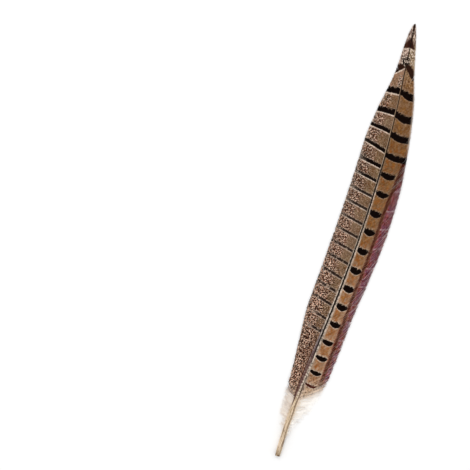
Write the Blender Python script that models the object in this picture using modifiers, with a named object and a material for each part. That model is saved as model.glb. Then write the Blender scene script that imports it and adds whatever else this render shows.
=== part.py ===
"""A pheasant tail feather, lying with its upper side up, as one solid.

The quill's cut end is at the low end of Y and the tip at the high end. The underside of the quill and the
margins of the vanes rest on Z = 0. A barb leaves its root on the shaft at an angle, bends towards the tip
and ends on the vane's outline. The barbs hold together in locks, with a notch between each two locks, and at
the foot of the vane the locks are loose, narrow and downy.

A place on the feather is given by its station, the distance from the cut end measured up the feather, and by
its reach, the distance out from the middle of the shaft. Lengths are in metres.
"""

import math

import bmesh
import bpy
import numpy as np

NAME = "tail_feather"

# The whole feather
LENGTH = 0.350
SWAY = (-0.013, 0.146, -0.100)  # the shaft's bend to the right, as the terms of sway() below
FOOT_AT = (-0.0081, -0.175)  # where the cut end lies, so that the origin is under the middle of the feather

# The shaft
QUILL_WIDTH = 0.0041
TIP_WIDTH = 0.0007
FULL_WIDTH_RUN = 0.285  # the shaft has its full width this far below the tip
TAPER = 2.0
CUT_PINCH = 0.90
CUT_RUN = 0.006
REST_RUN = 0.016  # the quill lies flat on the ground up to this station
RISE = 0.0036  # how far the middle of the shaft arches up
BORE_WIDTH = 0.0024
BORE_DEPTH = 0.008
FLAT_HALF_ANGLE = 14.0  # degrees: half of the flat facet under the shaft
GROOVE_DEPTH = 0.30  # of the shaft's half width, along the underside between the vanes
GROOVE_FROM = (0.040, 0.090)  # stations where the groove starts and where it is full
SQUARENESS = 0.10  # how much the shaft between the vanes swells at its corners
SHAFT_RINGS = 46

# The vanes: (station, reach) of each outline, from the foot to the tip
LEFT_OUTLINE = (
    (0.034, 0.0080),
    (0.048, 0.0096),
    (0.066, 0.0111),
    (0.087, 0.0140),
    (0.118, 0.0183),
    (0.180, 0.0193),
    (0.250, 0.0180),
    (0.280, 0.0139),
    (0.311, 0.0069),
    (0.340, 0.0034),
    (0.350, 0.0005),
)
RIGHT_OUTLINE = (
    (0.034, 0.0090),
    (0.044, 0.0138),
    (0.058, 0.0172),
    (0.075, 0.0180),
    (0.118, 0.0174),
    (0.149, 0.0184),
    (0.190, 0.0198),
    (0.219, 0.0193),
    (0.250, 0.0168),
    (0.286, 0.0128),
    (0.311, 0.0077),
    (0.340, 0.0029),
    (0.350, 0.0005),
)
# (station, degrees) between a barb and the shaft, at its root and at the margins
ROOT_ANGLE = (
    (0.025, 75.0),
    (0.045, 62.0),
    (0.065, 50.0),
    (0.100, 47.0),
    (0.270, 45.0),
    (0.320, 32.0),
    (0.350, 22.0),
)
LEFT_MARGIN_ANGLE = (
    (0.025, 62.0),
    (0.045, 48.0),
    (0.070, 36.0),
    (0.100, 30.0),
    (0.270, 28.0),
    (0.320, 20.0),
    (0.350, 12.0),
)
RIGHT_MARGIN_ANGLE = (
    (0.025, 62.0),
    (0.045, 42.0),
    (0.062, 28.0),
    (0.100, 21.0),
    (0.270, 22.0),
    (0.320, 18.0),
    (0.350, 12.0),
)
VANE_THICKNESS = 0.0005
VANE_SEAT = 0.12  # of the shaft's width: how far above the shaft's middle the barbs are rooted
VANE_INSET = 0.20  # of the shaft's width: where the vane starts inside the shaft
MARGIN_HEIGHT = 0.00055
ARCH = 0.6  # share of the vane's droop that follows a square law

# The locks
LOCKS = 36  # on each side
LOCK_UNEVENNESS = 0.35
DOWN_LOCK_SIZE = 0.32  # a downy lock beside one of the vane
DOWN_RUN = 0.016  # how fast the down gives way to vane, up from the first root
NOTCH = 0.045  # of the barb's reach
DOWN_NOTCH = 0.74
SPLIT_NOTCH = 0.12
SPLIT_EVERY = 9  # one notch in so many is a deeper split
LOCK_LIFT = 0.0005  # at the margin, a lock's edge towards the foot lies this much above its other edge
LOCK_COLUMNS = (0.0, 0.12, 0.5, 0.88)  # places of the barbs that are modelled, across one lock
LOCK_ROUNDING = (0.0, 0.985, 1.0, 0.97)  # their reach; the first one is the notch
DOWN_POINTING = (0.0, 0.55, 0.0, 0.42)  # how much shorter they are in a downy lock
VANE_ROWS = 4
SEEDS = {"left": 11, "right": 23}

QUILL_COLOUR = (0.70, 0.60, 0.42)
VANE_COLOUR = (0.30, 0.17, 0.08)


def through(points, at):
    """A monotone cubic through the points, which never overshoots them."""
    where, value = np.array(points).T
    step = np.diff(where)
    slope = np.diff(value) / step
    product = slope[:-1] * slope[1:]
    total = np.where(product > 0, slope[:-1] + slope[1:], 1.0)
    inner = np.where(product > 0, 2 * product / total, 0.0)
    tangent = np.concatenate((slope[:1], inner, slope[-1:]))
    k = np.clip(np.searchsorted(where, at) - 1, 0, len(step) - 1)
    t = np.clip((at - where[k]) / step[k], 0.0, 1.0)
    start = (2 * t**3 - 3 * t**2 + 1) * value[k] + (t**3 - 2 * t**2 + t) * step[k] * tangent[k]
    end = (3 * t**2 - 2 * t**3) * value[k + 1] + (t**3 - t**2) * step[k] * tangent[k + 1]
    return start + end


def fade(low, high, at):
    """0 below low, 1 above high, and smooth between."""
    t = np.clip((at - low) / (high - low), 0.0, 1.0)
    return t * t * (3 - 2 * t)


# The shaft's line


def sway(station):
    """How far the shaft lies to the right of the straight line between its ends."""
    t = station / LENGTH
    constant, linear, square = SWAY
    return t * (1 - t) * (constant + linear * t + square * t * t)


def shaft_width(station):
    """The shaft keeps its width up the quill, then tapers to the tip by a power law."""
    below_tip = np.clip((LENGTH - station) / FULL_WIDTH_RUN, 0.0, 1.0)
    pinch = CUT_PINCH + (1 - CUT_PINCH) * fade(0.0, CUT_RUN, station)
    return (TIP_WIDTH + (QUILL_WIDTH - TIP_WIDTH) * below_tip**TAPER) * pinch


def shaft_height(station):
    """Height of the shaft's middle: flat along the quill, arched between its ends, low at the tip."""
    t = np.clip((station - REST_RUN) / (LENGTH - REST_RUN), 0.0, 1.0)
    flat = math.cos(math.radians(FLAT_HALF_ANGLE))
    foot = QUILL_WIDTH / 2 * flat
    tip = TIP_WIDTH / 2
    return foot + (tip - foot) * fade(0.0, 1.0, t) + RISE * np.sin(math.pi * t) ** 2


def place(station, reach, height):
    """The point at a station and a reach to the right, square to the swaying shaft."""
    tiny = LENGTH * 1e-4
    lean = (sway(station + tiny) - sway(station - tiny)) / (2 * tiny)
    length = np.sqrt(1 + lean**2)
    x = FOOT_AT[0] + sway(station) + reach / length
    y = FOOT_AT[1] + station - reach * lean / length
    return np.stack(np.broadcast_arrays(x, y, height), axis=-1)


# The vanes' shape


class Vane:
    """One side's outline, barb curves and locks. A barb is named by its root, a station on the shaft."""

    def __init__(self, side, outline, margin_angle, seed):
        self.side = side
        self.outline = outline
        self.margin_angle = margin_angle
        stations, reaches = np.array(outline).T
        roots = stations.copy()
        for _ in range(30):
            roots = stations - self.forward(roots, reaches, 1.0)
        self.reach_by_root = np.stack((roots, reaches), axis=1)
        self.first, self.last = roots[0], roots[-1]
        self.make_locks(np.random.default_rng(seed))

    def forward(self, root, reach, share):
        """How far towards the tip a barb has run at a share of its reach. Its slope grows with the square."""
        start = 1 / np.tan(np.radians(through(ROOT_ANGLE, root)))
        end = 1 / np.tan(np.radians(through(self.margin_angle, root)))
        return reach * (start * share + (end - start) * share**3 / 3)

    def down(self, root):
        """1 where the barbs are downy, at the foot, falling off to 0 up the vane."""
        return np.exp(-(((root - self.first) / DOWN_RUN) ** 2))

    def make_locks(self, chance):
        """Shares the roots out into uneven locks, narrow in the down, and sets each notch."""
        size = 1 + LOCK_UNEVENNESS * chance.uniform(-1, 1, LOCKS)
        number = np.arange(LOCKS)
        size = size * (DOWN_LOCK_SIZE + (1 - DOWN_LOCK_SIZE) * fade(0, LOCKS / 5, number))
        edges = np.concatenate(([0.0], np.cumsum(size) / size.sum()))
        self.edges = self.first + (self.last - self.first) * edges
        split = np.where(np.arange(LOCKS + 1) % SPLIT_EVERY == SPLIT_EVERY // 2, SPLIT_NOTCH, NOTCH)
        uneven = chance.uniform(0.5, 1.5, LOCKS + 1)
        down = self.down(self.edges)
        self.notch = (1 - down) * split * uneven + down * DOWN_NOTCH

    def surface(self, root, share, lock_reach, lock_place):
        """Points of the vane: along each barb, out to its share of its reach, arched down to the margin."""
        full = through(self.reach_by_root, root) * lock_reach
        inset = VANE_INSET * shaft_width(root)
        reach = inset + (full - inset) * share
        station = root + self.forward(root, full, reach / full)
        top = shaft_height(station) + VANE_SEAT * shaft_width(station)
        out = np.clip(reach / through(self.outline, station), 0.0, 1.0)
        droop = (1 - ARCH) * out + ARCH * out**2
        lift = LOCK_LIFT * (0.5 - lock_place) * out**2
        return place(station, self.side * reach, top - (top - MARGIN_HEIGHT) * droop + lift)

    def columns(self):
        """The modelled barbs, as rows of root, reach within the lock, and place across the lock."""
        found = []
        for low, high, notch in zip(self.edges[:-1], self.edges[1:], self.notch[:-1]):
            for across, rounding, pointing in zip(LOCK_COLUMNS, LOCK_ROUNDING, DOWN_POINTING):
                root = low + (high - low) * across
                at_notch = across == LOCK_COLUMNS[0]
                reach = 1 - notch if at_notch else rounding * (1 - pointing * self.down(root))
                found.append((root, reach, 0.5 if at_notch else across))
        found.append((self.edges[-1], 1.0, 0.5))
        return np.array(found).T


# Meshes


def material(name, colour, roughness):
    made = bpy.data.materials.new(name)
    made.use_nodes = True
    shader = made.node_tree.nodes["Principled BSDF"]
    shader.inputs["Base Color"].default_value = (*colour, 1.0)
    shader.inputs["Roughness"].default_value = roughness
    shader.inputs["Metallic"].default_value = 0.0
    made.diffuse_color = (*colour, 1.0)
    return made


def add_object(name, mesh, collection, finish):
    made = bpy.data.objects.new(name, mesh)
    mesh.materials.append(finish)
    collection.objects.link(made)
    return made


def section(width, groove, square):
    """The shaft's cross-section: round, swelling to a square one with a groove along its flat underside."""
    side = 90 - FLAT_HALF_ANGLE
    degrees = np.array((-90, -side, -48, -20, 10, 38, 64, 90, 116, 142, 170, 200, 228, 180 + side), float)
    angle = np.radians(degrees)
    half = width / 2
    radius = half * (1 + square * np.sin(2 * angle) ** 2)
    across = radius * np.cos(angle)
    up = radius * np.sin(angle)
    floor = -half * math.cos(math.radians(FLAT_HALF_ANGLE))
    flat = np.abs(np.cos(angle)) <= math.sin(math.radians(FLAT_HALF_ANGLE)) + 1e-6
    under = flat & (up < 0)
    up = np.where(under, floor, up)
    up[0] += groove * half
    return across, up


def shaft_mesh():
    """A loft of rings up the shaft, closed by a flat cut at the foot and by a small end at the tip."""
    mesh = bpy.data.meshes.new(NAME)
    shape = bmesh.new()
    stations = LENGTH * np.linspace(0, 1, SHAFT_RINGS)
    rings = []
    for station in stations:
        strength = float(fade(*GROOVE_FROM, station))
        width = float(shaft_width(station))
        across, up = section(width, GROOVE_DEPTH * strength, SQUARENESS * strength)
        points = place(station, across, shaft_height(station) + up)
        rings.append([shape.verts.new(point) for point in points])
    for low, high in zip(rings[:-1], rings[1:]):
        for i in range(len(low)):
            j = (i + 1) % len(low)
            shape.faces.new((low[i], low[j], high[j], high[i]))
    shape.faces.new(reversed(rings[0]))
    shape.faces.new(rings[-1])
    bmesh.ops.recalc_face_normals(shape, faces=shape.faces)
    shape.to_mesh(mesh)
    shape.free()
    return mesh


def vane_mesh(vane, name):
    """A grid whose columns are barbs and whose rows run along the feather, bent into the vane's surface."""
    roots, reaches, places = vane.columns()
    mesh = bpy.data.meshes.new(name)
    shape = bmesh.new()
    bmesh.ops.create_grid(shape, x_segments=VANE_ROWS, y_segments=len(roots) - 1, size=0.5)
    for vertex in shape.verts:
        share = vertex.co.x + 0.5
        k = round((vertex.co.y + 0.5) * (len(roots) - 1))
        vertex.co = vane.surface(roots[k], share, reaches[k], places[k])
    if vane.side < 0:
        bmesh.ops.reverse_faces(shape, faces=shape.faces)
    shape.to_mesh(mesh)
    shape.free()
    return mesh


def bore_mesh(name):
    """The hollow of the quill, a round bore that opens at the cut end."""
    mesh = bpy.data.meshes.new(name)
    shape = bmesh.new()
    bmesh.ops.create_cone(
        shape,
        cap_ends=True,
        segments=12,
        radius1=BORE_WIDTH / 2,
        radius2=BORE_WIDTH / 2,
        depth=2 * BORE_DEPTH,
    )
    for vertex in shape.verts:
        x, y, z = vertex.co
        vertex.co = (FOOT_AT[0] + x, FOOT_AT[1] + z, float(shaft_height(0.0)) + y)
    bmesh.ops.recalc_face_normals(shape, faces=shape.faces)
    shape.to_mesh(mesh)
    shape.free()
    return mesh


def as_tool(tool):
    tool.hide_render = True
    tool.display_type = "WIRE"
    return tool


def combine(target, tool, operation):
    step = target.modifiers.new(tool.name, "BOOLEAN")
    step.operation = operation
    step.solver = "EXACT"
    step.object = as_tool(tool)


def build():
    for old in list(bpy.data.objects):
        bpy.data.objects.remove(old, do_unlink=True)
    scene = bpy.context.scene
    parts = bpy.data.collections.new(NAME)
    tools = bpy.data.collections.new("feather tools")
    scene.collection.children.link(parts)
    scene.collection.children.link(tools)

    quill_finish = material("quill horn", QUILL_COLOUR, 0.45)
    vane_finish = material("barred vane", VANE_COLOUR, 0.65)

    feather = add_object(NAME, shaft_mesh(), parts, quill_finish)
    bore = add_object("quill bore", bore_mesh("quill bore"), tools, quill_finish)
    combine(feather, bore, "DIFFERENCE")
    for side, name, outline, angle in (
        (-1, "left", LEFT_OUTLINE, LEFT_MARGIN_ANGLE),
        (1, "right", RIGHT_OUTLINE, RIGHT_MARGIN_ANGLE),
    ):
        vane = Vane(side, outline, angle, SEEDS[name])
        sheet = add_object(f"{name} vane", vane_mesh(vane, f"{name} vane"), tools, vane_finish)
        wall = sheet.modifiers.new("thickness", "SOLIDIFY")
        wall.thickness = VANE_THICKNESS
        wall.offset = 0.0
        combine(feather, sheet, "UNION")
    feather.data.shade_smooth()
    feather.data.set_sharp_from_angle(angle=math.radians(35))


build()
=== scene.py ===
"""A pheasant tail feather: its shaft, the barbs of its vanes and the down at its foot, with their markings.

The feather lies with its upper side up, the quill's cut end at the low end of Y and the tip at the high end.
A place on it is given by its station, the distance from the cut end measured up the feather, and by its
reach, the distance out from the middle of the shaft. Shapes are in metres. The markings are in millimetres,
and place a thing by its depth, the distance below the tip.
"""

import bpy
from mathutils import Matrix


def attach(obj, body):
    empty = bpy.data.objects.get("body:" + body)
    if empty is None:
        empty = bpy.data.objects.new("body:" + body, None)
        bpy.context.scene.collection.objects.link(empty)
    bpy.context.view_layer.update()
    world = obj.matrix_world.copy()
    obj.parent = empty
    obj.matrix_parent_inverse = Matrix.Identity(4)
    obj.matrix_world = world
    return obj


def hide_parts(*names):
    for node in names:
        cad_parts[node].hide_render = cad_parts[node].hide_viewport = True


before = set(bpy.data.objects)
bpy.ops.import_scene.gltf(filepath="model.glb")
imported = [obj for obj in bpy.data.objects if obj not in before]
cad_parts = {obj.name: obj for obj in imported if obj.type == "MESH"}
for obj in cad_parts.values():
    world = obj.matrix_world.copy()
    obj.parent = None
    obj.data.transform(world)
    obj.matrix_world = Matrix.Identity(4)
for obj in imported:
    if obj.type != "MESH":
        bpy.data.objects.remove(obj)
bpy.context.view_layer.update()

import math

import bpy
import mathutils
import numpy as np

BODY = "root"
SOLID = "tail_feather"
MM = 1000.0  # millimetres in a metre

# The feather's form, with the values of the solid that these pieces replace
LENGTH = 0.350
SWAY = (-0.013, 0.146, -0.100)  # the shaft's bend to the right, as the terms of sway() below
FOOT_AT = (-0.0081, -0.175)  # where the cut end lies
QUILL_WIDTH = 0.0041
TIP_WIDTH = 0.0007
FULL_WIDTH_RUN = 0.285  # the shaft has its full width this far below the tip
TAPER = 2.0  # the power by which it narrows
CUT_PINCH = 0.90  # share of the width that is left at the cut
CUT_RUN = 0.006
REST_RUN = 0.016  # the quill lies flat on the ground up to this station
RISE = 0.0036  # how far the middle of the shaft arches up
BORE_WIDTH = 0.0024
BORE_END_WIDTH = 0.35  # share of the bore's width that is left at its end
BORE_ROUNDING = 0.35  # share of the bore's depth over which it narrows
BORE_DEPTH = 0.008
FLAT_HALF_ANGLE = 14.0  # degrees: half of the flat facet under the shaft
GROOVE_DEPTH = 0.30  # of the shaft's half width, along the underside between the vanes
GROOVE_HALF_WIDTH = 0.30  # of it, too
GROOVE_FROM = (0.040, 0.090)  # stations where the groove starts and where it is full
SQUARENESS = 0.10  # how much the shaft between the vanes swells at its corners
# The margins, as (station, reach)
LEFT_OUTLINE = (
    (0.034, 0.0080), (0.048, 0.0096), (0.066, 0.0111), (0.087, 0.0140), (0.118, 0.0183), (0.180, 0.0193),
    (0.250, 0.0180), (0.280, 0.0139), (0.311, 0.0069), (0.340, 0.0034), (0.350, 0.0005),
)
RIGHT_OUTLINE = (
    (0.034, 0.0090), (0.044, 0.0138), (0.058, 0.0172), (0.075, 0.0180), (0.118, 0.0174), (0.149, 0.0184),
    (0.190, 0.0198), (0.219, 0.0193), (0.250, 0.0168), (0.286, 0.0128), (0.311, 0.0077), (0.340, 0.0029),
    (0.350, 0.0005),
)
# The angle between a barb and the shaft, as (the barb's root, degrees), at its root and at the margins
ROOT_ANGLE = ((0.025, 75), (0.045, 62), (0.065, 50), (0.100, 47), (0.270, 45), (0.320, 32), (0.350, 22))
LEFT_MARGIN_ANGLE = (
    (0.025, 62), (0.045, 48), (0.070, 36), (0.100, 30), (0.270, 28), (0.320, 20), (0.350, 12),
)
RIGHT_MARGIN_ANGLE = (
    (0.025, 62), (0.045, 42), (0.062, 28), (0.100, 21), (0.270, 22), (0.320, 18), (0.350, 12),
)
ROOT_ROUNDS = 30  # rounds in which a barb's root is found from its end
VANE_SEAT = 0.12  # of the shaft's width: how far above the shaft's middle the barbs are rooted
VANE_INSET = 0.20  # of the shaft's width: where the vane starts inside the shaft
MARGIN_HEIGHT = 0.00055
ARCH = 0.6  # share of the vane's droop that follows a square law
LOCKS = 36  # on each side
LOCK_UNEVENNESS = 0.35
DOWN_LOCK_SIZE = 0.32  # a downy lock beside one of the vane
DOWN_RUN = 0.016  # how fast the down gives way to vane, up from the first root
NOTCH = 0.045  # of the barb's reach
NOTCH_UNEVENNESS = (0.5, 1.5)
NOTCH_SIDE = 0.15  # share of a lock beside a notch that shows it
DOWN_NOTCH = 0.74
SPLIT_NOTCH = 0.12
SPLIT_EVERY = 9
LOCK_LIFT = 0.0005
SEEDS = {"left": 11, "right": 23}
HAIR = LENGTH * 1e-4  # a short way along the shaft

# The shaft's mesh
SHAFT_CORNERS = 28
SHAFT_RINGS = 260
BORE_RINGS = 7
SHAFT_WAVE = 0.00005  # how uneven the shaft's surface is
WAVES = (410, 90)  # and how often along it, in radians for each metre

# The barbs of a vane
BARBS = 720  # on each side
BARB_STEPS = 16
BARB_CORNERS = 4
BARB_SPACING = 0.92  # the power by which the steps close up towards a barb's end
BARB_JITTER = 0.15  # how unevenly they are set, as a share of the distance to the next barb
BARB_OVERLAP = 1.32  # a barb's width, beside the distance to the next barb
BARB_HEIGHT = (0.00017, 0.00008)  # thickness at its root and at its tip
BARB_TILT = 9.0  # degrees: the leading edge of a barb lies over the next one
BARB_REACH = 1.026  # of the outline, so that a barb's fine end lies on it
REACH_STRAY = (0.006, 0.006, 0.014)  # how far barbs miss it: both ways, inwards, and inwards where loose
REACH_LIMITS = (0.5, 1.06)
BARB_END = 0.975  # share of its length from which a barb narrows to its end
END_NARROWING = 0.55
FRINGE_FROM = 0.62  # share of the reach from which the right vane's barbs part into a fringe
FRINGE_TOP = (0.200, 0.240)  # stations of the roots over which the fringe dies away up the vane
FRINGE_WIDTH = 0.92  # share of a barb's width left at the end of the fringe
FRINGE_LOOSENESS = {1: 1.0, -1: 0.35}  # of the right vane, and of the left one, which has less of a fringe
LOOSE_STRAY = (0.00022, 0.00012)  # how far a loose end lies along the feather, at once and in a wave
LOOSE_WAVE = 9.0  # the wave's radians along a barb
LOOSE_LIFT = (-0.00008, 0.00035)
PARTING = 0.035  # how far a barb beside a notch bends away from it, as a share of its lock
NOTCH_BEND = 0.4  # how much more it bends for each time that its notch is deeper than the usual one
DEEPEST_NOTCH = 3.0  # beside the usual one, beyond which it bends no more
NOTCH_REACH = (0.06, 0.75)  # the least and the most of a barb's length that bends
NOTCH_CURVE = 1.6  # the power by which it bends
DOWNY_WIDTH = (0.00017, 0.00007)  # a downy barb's, at its root and at its end
DOWNY_SWING = 0.0011  # how far the ends of downy barbs stray along the feather
DOWNY_WAVE = 0.0005
DOWNY_WAVES = (3, 7)  # the wave's radians along a downy barb
TURN = 6.3  # and those within which it starts, a full turn
DOWNY_LIFT = 0.0011  # and up
DOWNY_SHORT = 0.38  # the share of its length that a downy barb may lack
PARTED_DOWN = (0.12, 0.55)  # how downy a barb is where it turns from a closed one to a thread
PARTED_SHARE = (0.0, 0.2)  # and the share of its length over which it does so
LOWEST_BARB = 0.0001  # the least height of a barb's middle, and of its surface
LOWEST_POINT = 0.00004
MAP_COLUMNS = 2
MAP_MARGIN = 0.002

# The down at the foot
DOWN_BARBS = 90
WISPS = 10  # barbs that grow singly on the quill below the vane
WISP_RUN = 0.012  # over this much of the quill
DOWN_STEPS = 18
DOWN_CORNERS = 4
DOWN_TOP = 0.017  # how far up the shaft from the first root the down grows
DOWN_START = 0.001  # and how far below it
DOWN_CROWDING = 1.5  # the power by which it crowds towards the lower end
DOWN_REACH = (0.55, 1.12)  # a downy barb's length, beside the vane's
WISP_SHORTENING = 0.6  # the share that the lowest wisp lacks of it
DOWN_BARB_WIDTH = 0.00013
DOWN_NARROWING = 0.85  # share of its width that it loses towards its end
DOWN_WAVE = 0.0006  # how far it waves, strays and rises
DOWN_STRAY = 0.0018
DOWN_RISE = (-0.0006, 0.0022)
DOWN_LEVELLING = 0.5  # share of its rise that it loses again towards its end
LOWEST_DOWN = 0.00015
DOWN_SEED = 100  # added to the vane's own
BARBULES = 56  # on each side of a downy barb
BARBULE_JITTER = 0.4  # how unevenly they are set, as a share of the distance to the next one
BARBULE_ENDS = (0.02, 0.98)  # shares of the barb's length between which they stand
BARBULE_WIDTH = 0.00006
BARBULE_TAPER = (1.0, 0.8, 0.15)  # shares of that width, from its root to its end
BARBULE_SHORTENING = 0.55  # how much shorter they are at the barb's end
BARBULE_LENGTH = (0.0009, 0.0023)
BARBULE_ANGLE = (38, 72)  # degrees from the downy barb
BARBULE_TILT = 0.28  # how far it stands up or down, beside its way out
BARBULE_CURL = (0.1, 0.5)
BARBULE_CORNERS = 3
LOWEST_BARBULE = 0.00012

# Markings: places in millimetres below the tip, measured at the shaft
RIGHT_BARS = (
    31.5, 53.4, 71.2, 87, 103.2, 118.6, 133, 148.7, 163.2, 178.8, 194.7, 209.6, 224.5, 238.8, 253.9, 266.8,
    279, 289.6,
)
LEFT_BARS = (
    31.2, 53.5, 70.2, 85.3, 101.4, 113.6, 125, 137.6, 148.3, 160.3, 171, 182.4, 192.8, 204.8, 215.9, 226.6,
    238.2, 248.6,
)
# (depth, half of a bar's thickness)
RIGHT_BAR_HALF = (
    (32, 3.7), (53, 3.0), (71, 3.2), (88, 2.8), (119, 2.5), (134, 2.3), (150, 2.7), (226, 2.7), (240, 2.2),
    (268, 2.0), (280, 1.7), (289, 1.1),
)
LEFT_BAR_HALF = (
    (32, 3.1), (53, 2.5), (69, 2.4), (85, 1.7), (100, 1.5), (112, 1.5), (124, 1.2), (147, 1.05), (248, 1.0),
)
# (depth, how far a bar's outer end lies towards the tip for each millimetre of reach)
RIGHT_BAR_SLOPE = (
    (0, -1.15), (40, -1.15), (52, -0.4), (70, -0.36), (100, -0.22), (122, -0.06), (150, -0.1), (300, -0.1),
)
LEFT_BAR_SLOPE = (
    (0, -0.85), (39, -0.85), (50, -0.02), (69, 0.03), (84, 0.2), (100, 0.34), (113, 0.22), (300, 0.15),
)
BAR_TURN = 8.0  # reach beyond which the right vane's bars turn back towards the tip
TURN_SLOPE = 0.35  # by this much of their slope
BAR_BULGE = 1.1  # how much nearer the foot the middle of a bar lies than its ends, inside the right vane
LENS_START = (-1.0, 0.8)  # the reach where a lens of a bar begins, higher up and lower down
LENS_MOVES = (200, 240)  # and the depths between which that changes
LENS_SPARE = 0.5  # how far past the bar's end its point would lie
LENS_LEAN = 1.25  # the power that makes it thickest outside its middle
ROOT_THINNING = 0.2  # how much thinner the uppermost bars are by the shaft
PAST_MARGIN = 40.0  # a reach beyond the widest place
# (depth, reach) where the right vane's bars end, and the middle of its maroon stripe
RIGHT_BAR_END = (
    (0, PAST_MARGIN), (104, PAST_MARGIN), (112, 13.5), (125, 11.8), (160, 10.4), (215, 10.4), (240, 10.9),
    (270, 11.2), (300, 11.3),
)
STRIPE = (
    (96, 17.0), (105, 16.0), (115, 15.4), (125, 14.0), (135, 12.9), (150, 12.1), (190, 11.9), (210, 11.6),
    (230, 12.2), (250, 13.0), (280, 13.8),
)
FRINGE_RISE = 0.36  # how far towards the tip a bar's pale trace in the fringe climbs for each millimetre
# Streaks along the shaft, as (depth, left edge, right edge), from -1 at its left side to 1 at its right
DARK_STREAK = (
    (0, -1.2, 1.2), (45, -0.6, 1.2), (60, -0.1, 1.2), (105, -0.2, 1.2), (120, -0.75, 0.8), (135, -0.9, 0.7),
    (160, -0.8, 0.5), (200, -0.6, 0.52), (220, -0.5, 0.55), (245, -0.4, 0.42), (258, -0.35, 0.3),
    (268, -0.1, 0.3), (278, 0.35, 0.35), (295, 0.35, 0.8), (350, 0.4, 0.7),
)
# The grey streak down the shaft's left side: its own slate colour with painted shade on that side
GREY_AND_SHADE_STREAK = (
    (0, -3.0, -2.0), (215, -1.6, -1.1), (245, -1.3, -0.9), (256, -0.95, -0.3), (270, -0.95, 0.2),
    (290, -1.05, -0.2), (308, -1.3, -0.6), (316, -1.8, -1.2), (350, -3.0, -2.0),
)
# Depths over which a marking sets in or dies away, as (none of it, all of it)
CHEVRON = (46, 38)
BARS_SHORTEN = (104, 130)
FRINGE_STARTS = (98, 106)
FRINGE_STOPS = (293, 282)
DOT_GRAIN = 1.1  # millimetres from dot to dot

# Finishes: how much of a mirror each is, and how deep its grain
VANE_GLOSS, VANE_GRAIN = 0.03, 0.00008
HORN_GLOSS, HORN_GRAIN = 0.06, 0.00005
GRAIN_STRENGTH = 0.6
DOWN_GLOSS, DOWN_SHEEN = 0.2, 0.15
# A painted glow: the down gives off light of its own colour
DOWN_PAINTED_GLOW = 0.24  # stands for the light that passes through down

# Floor, light and camera
FLOOR_SIZE = 8.0
FLOOR_DROP = 0.0002
FLOOR_COLOUR = (0.93, 0.93, 0.93, 1.0)
FLOOR_ROUGHNESS, FLOOR_GLOSS = 0.9, 0.1
WHITE = (1.0, 1.0, 1.0, 1.0)
SKY_STRENGTH = 0.93
LAMP_POWER = 5.4
LAMP_AT = (-0.55, 0.45, 1.30)
LAMP_SIZE = 0.9
PICTURE_PIXELS = 470
PIXEL = 0.00077273  # metres across one pixel of the picture, at the surface
CUT_END_PIXEL = (277.3, 455.5)
TIP_PIXEL = (415.0, 24.0)
CAMERA_HEIGHT = 1.2
SENSOR = 36.0


# Curves and blends


def through(points, at):
    """A monotone cubic through the points: between each two, the Hermite cubic whose end slopes are the
    harmonic means of the straight slopes on either side, or 0 where these change sign."""
    where, value = np.array(points).T
    step = np.diff(where)
    slope = np.diff(value) / step
    product = slope[:-1] * slope[1:]
    total = np.where(product > 0, slope[:-1] + slope[1:], 1.0)
    inner = np.where(product > 0, 2 * product / total, 0.0)
    tangent = np.concatenate((slope[:1], inner, slope[-1:]))
    k = np.clip(np.searchsorted(where, at) - 1, 0, len(step) - 1)
    t = np.clip((at - where[k]) / step[k], 0.0, 1.0)
    start = (2 * t**3 - 3 * t**2 + 1) * value[k] + (t**3 - 2 * t**2 + t) * step[k] * tangent[k]
    end = (3 * t**2 - 2 * t**3) * value[k + 1] + (t**3 - t**2) * step[k] * tangent[k + 1]
    return start + end


def fade(low, high, at):
    """0 below low, 1 above high, and 3t^2 - 2t^3 between."""
    t = np.clip((at - low) / (high - low), 0.0, 1.0)
    return t * t * (3 - 2 * t)


def blend(low, high, share):
    return low + (high - low) * share


def unit(vectors):
    return vectors / np.maximum(np.linalg.norm(vectors, axis=-1, keepdims=True), 1e-12)


def threes(like, *values):
    """Three values, each spread out to the shape of an array, as one array with a last axis of three."""
    return np.stack(np.broadcast_arrays(*values, like)[:3], axis=-1)


# The shaft's line


def sway(station):
    """How far the shaft lies to the right of the straight line between its ends: t(1 - t) times a square
    polynomial in t, with t running from 0 to 1 up the feather."""
    t = station / LENGTH
    constant, linear, square = SWAY
    return t * (1 - t) * (constant + linear * t + square * t * t)


def lean_at(station):
    """The sway's slope, from two places a short way apart."""
    return (sway(station + HAIR) - sway(station - HAIR)) / (2 * HAIR)


def shaft_width(station):
    """The quill's full width, then a power law down to the tip's, a little pinched at the cut."""
    below_tip = np.clip((LENGTH - station) / FULL_WIDTH_RUN, 0.0, 1.0)
    pinch = blend(CUT_PINCH, 1, fade(0.0, CUT_RUN, station))
    return blend(TIP_WIDTH, QUILL_WIDTH, below_tip**TAPER) * pinch


def shaft_height(station):
    """Height of the shaft's middle: a smooth step from the quill's to the tip's, plus a squared sine."""
    t = np.clip((station - REST_RUN) / (LENGTH - REST_RUN), 0.0, 1.0)
    foot = QUILL_WIDTH / 2 * math.cos(math.radians(FLAT_HALF_ANGLE))
    return blend(foot, TIP_WIDTH / 2, fade(0.0, 1.0, t)) + RISE * np.sin(math.pi * t) ** 2


def place(station, reach, height):
    """The point at a station and a reach to the right, square to the swaying shaft."""
    lean = lean_at(station)
    length = np.sqrt(1 + lean**2)
    x = FOOT_AT[0] + sway(station) + reach / length
    y = FOOT_AT[1] + station - reach * lean / length
    return np.stack(np.broadcast_arrays(x, y, height), axis=-1)


# The vanes' form


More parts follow.
